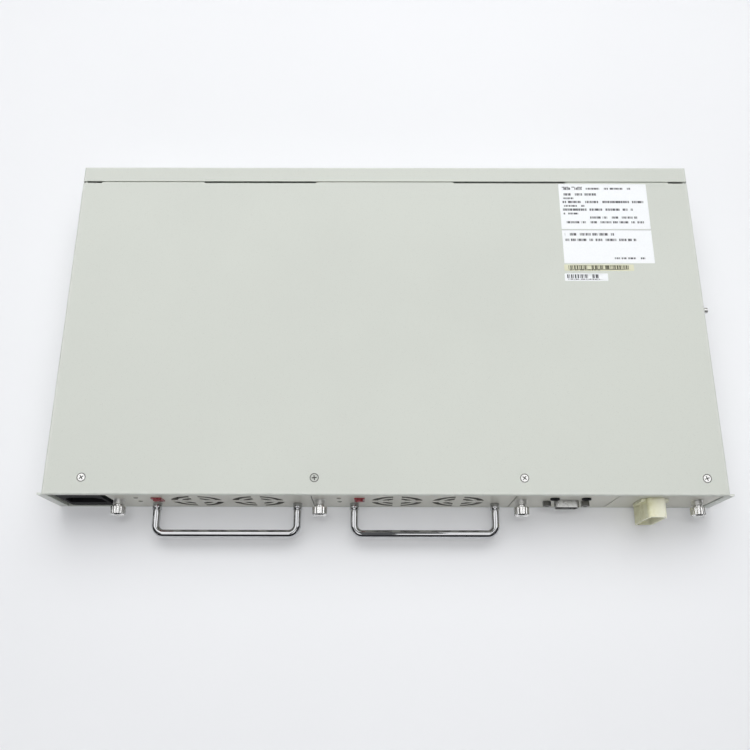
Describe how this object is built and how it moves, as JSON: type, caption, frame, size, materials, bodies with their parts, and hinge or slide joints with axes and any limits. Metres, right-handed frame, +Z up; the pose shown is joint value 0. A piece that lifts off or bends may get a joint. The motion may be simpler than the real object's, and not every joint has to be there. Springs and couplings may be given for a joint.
{
  "type": "rack dc power supply",
  "caption": "Low, rack-width sheet metal dc power supply with plug-in rectifiers, chromed pull handles, fan grilles, a mains inlet, a data port and a dc output socket.",
  "frame": {"origin": "middle of the underside of the chassis floor, without the handles and other front fittings", "axes": "+X to the right seen from the front, +Y to the back, +Z up"},
  "size_m": [0.445, 0.2628, 0.0436],
  "materials": {
    "case_paint": "light warm grey powder coat, satin",
    "panel_paint": "light grey paint, semi-gloss",
    "zinc_steel": "zinc coated sheet",
    "handle_chrome": "polished chrome",
    "knob_metal": "bright nickel, knurled",
    "screw_steel": "nickel plated",
    "shell_steel": "tin plated",
    "contact_metal": "tin plated brass",
    "black_plastic": "moulded, fine grain",
    "red_plastic": "moulded, glossy",
    "lamp_lens": "clear diffused",
    "natural_nylon": "uncoloured nylon, slightly translucent",
    "circuit_board": "solder mask",
    "heatsink_aluminium": "extruded",
    "ferrite": "ferrite core with a taped winding",
    "capacitor_sleeve": "shrink sleeve",
    "lead_insulation": "insulated lead"
  },
  "bodies": {
    "chassis": {"chassis_tray": "case_paint", "top_cover": "case_paint", "cover_screws": "screw_steel", "front_rail": "zinc_steel", "guide_channels": "zinc_steel", "ground_terminal": "screw_steel", "ac_bay_plate": "panel_paint", "ac_inlet_housing": "black_plastic", "ac_inlet_blades": "contact_metal", "ac_leads": "lead_insulation", "backplane_board": "circuit_board", "backplane_sockets": "black_plastic"},
    "rectifier_1": {"rectifier_1_front_panel": "panel_paint", "rectifier_1_tray": "zinc_steel", "rectifier_1_lid": "zinc_steel", "rectifier_1_handle": "handle_chrome", "rectifier_1_switch_frame": "red_plastic", "rectifier_1_status_lamps": "lamp_lens", "rectifier_1_fan_frames": "black_plastic", "rectifier_1_board": "circuit_board", "rectifier_1_heatsink": "heatsink_aluminium", "rectifier_1_transformers": "ferrite", "rectifier_1_capacitors": "capacitor_sleeve", "rectifier_1_rear_plug": "black_plastic"},
    "rectifier_1_thumbscrew": {"rectifier_1_thumbscrew": "knob_metal"},
    "rectifier_1_switch_rocker": {"rectifier_1_switch_rocker": "red_plastic"},
    "rectifier_1_fan_a_rotor": {"rectifier_1_fan_a_rotor": "black_plastic"},
    "rectifier_1_fan_b_rotor": {"rectifier_1_fan_b_rotor": "black_plastic"},
    "rectifier_2": {"rectifier_2_front_panel": "panel_paint", "rectifier_2_tray": "zinc_steel", "rectifier_2_lid": "zinc_steel", "rectifier_2_handle": "handle_chrome", "rectifier_2_switch_frame": "red_plastic", "rectifier_2_status_lamps": "lamp_lens", "rectifier_2_fan_frames": "black_plastic", "rectifier_2_board": "circuit_board", "rectifier_2_heatsink": "heatsink_aluminium", "rectifier_2_transformers": "ferrite", "rectifier_2_capacitors": "capacitor_sleeve", "rectifier_2_rear_plug": "black_plastic"},
    "rectifier_2_thumbscrew": {"rectifier_2_thumbscrew": "knob_metal"},
    "rectifier_2_switch_rocker": {"rectifier_2_switch_rocker": "red_plastic"},
    "rectifier_2_fan_a_rotor": {"rectifier_2_fan_a_rotor": "black_plastic"},
    "rectifier_2_fan_b_rotor": {"rectifier_2_fan_b_rotor": "black_plastic"},
    "monitor": {"monitor_front_panel": "panel_paint", "monitor_tray": "zinc_steel", "monitor_board": "circuit_board", "monitor_rear_plug": "black_plastic", "monitor_serial_shell": "shell_steel", "monitor_serial_insert": "black_plastic", "monitor_serial_jackscrews": "screw_steel", "monitor_lamp_bezels": "black_plastic"},
    "monitor_thumbscrew": {"monitor_thumbscrew": "knob_metal"},
    "output": {"output_front_panel": "panel_paint", "output_tray": "zinc_steel", "output_board": "circuit_board", "output_rear_plug": "black_plastic", "output_housing": "natural_nylon", "output_pins": "contact_metal"},
    "output_thumbscrew": {"output_thumbscrew": "knob_metal"}
  },
  "joints": [
    {"name": "rectifier_1_slide", "type": "slide", "parent": "chassis", "child": "rectifier_1", "axis": [0, -1, 0], "range_m": [0, 0.2]},
    {"name": "rectifier_1_thumbscrew_turn", "type": "hinge", "parent": "rectifier_1", "child": "rectifier_1_thumbscrew", "pos_m": [-0.1734, -0.126, 0.0258], "axis": [0, 1, 0], "continuous": true},
    {"name": "rectifier_1_switch_rocker_tip", "type": "hinge", "parent": "rectifier_1", "child": "rectifier_1_switch_rocker", "pos_m": [-0.1476, -0.1194, 0.028], "axis": [1, 0, 0], "range_deg": [-16, 0]},
    {"name": "rectifier_1_fan_a_spin", "type": "hinge", "parent": "rectifier_1", "child": "rectifier_1_fan_a_rotor", "pos_m": [-0.1231, -0.109, 0.0212], "axis": [0, 1, 0], "continuous": true},
    {"name": "rectifier_1_fan_b_spin", "type": "hinge", "parent": "rectifier_1", "child": "rectifier_1_fan_b_rotor", "pos_m": [-0.0831, -0.109, 0.0212], "axis": [0, 1, 0], "continuous": true},
    {"name": "rectifier_2_slide", "type": "slide", "parent": "chassis", "child": "rectifier_2", "axis": [0, -1, 0], "range_m": [0, 0.2]},
    {"name": "rectifier_2_thumbscrew_turn", "type": "hinge", "parent": "rectifier_2", "child": "rectifier_2_thumbscrew", "pos_m": [-0.0424, -0.126, 0.0258], "axis": [0, 1, 0], "continuous": true},
    {"name": "rectifier_2_switch_rocker_tip", "type": "hinge", "parent": "rectifier_2", "child": "rectifier_2_switch_rocker", "pos_m": [-0.0166, -0.1194, 0.028], "axis": [1, 0, 0], "range_deg": [-16, 0]},
    {"name": "rectifier_2_fan_a_spin", "type": "hinge", "parent": "rectifier_2", "child": "rectifier_2_fan_a_rotor", "pos_m": [0.0079, -0.109, 0.0212], "axis": [0, 1, 0], "continuous": true},
    {"name": "rectifier_2_fan_b_spin", "type": "hinge", "parent": "rectifier_2", "child": "rectifier_2_fan_b_rotor", "pos_m": [0.0479, -0.109, 0.0212], "axis": [0, 1, 0], "continuous": true},
    {"name": "monitor_slide", "type": "slide", "parent": "chassis", "child": "monitor", "axis": [0, -1, 0], "range_m": [0, 0.2]},
    {"name": "monitor_thumbscrew_turn", "type": "hinge", "parent": "monitor", "child": "monitor_thumbscrew", "pos_m": [0.0886, -0.126, 0.0258], "axis": [0, 1, 0], "continuous": true},
    {"name": "output_slide", "type": "slide", "parent": "chassis", "child": "output", "axis": [0, -1, 0], "range_m": [0, 0.2]},
    {"name": "output_thumbscrew_turn", "type": "hinge", "parent": "output", "child": "output_thumbscrew", "pos_m": [0.203, -0.126, 0.0258], "axis": [0, 1, 0], "continuous": true}
  ]
}
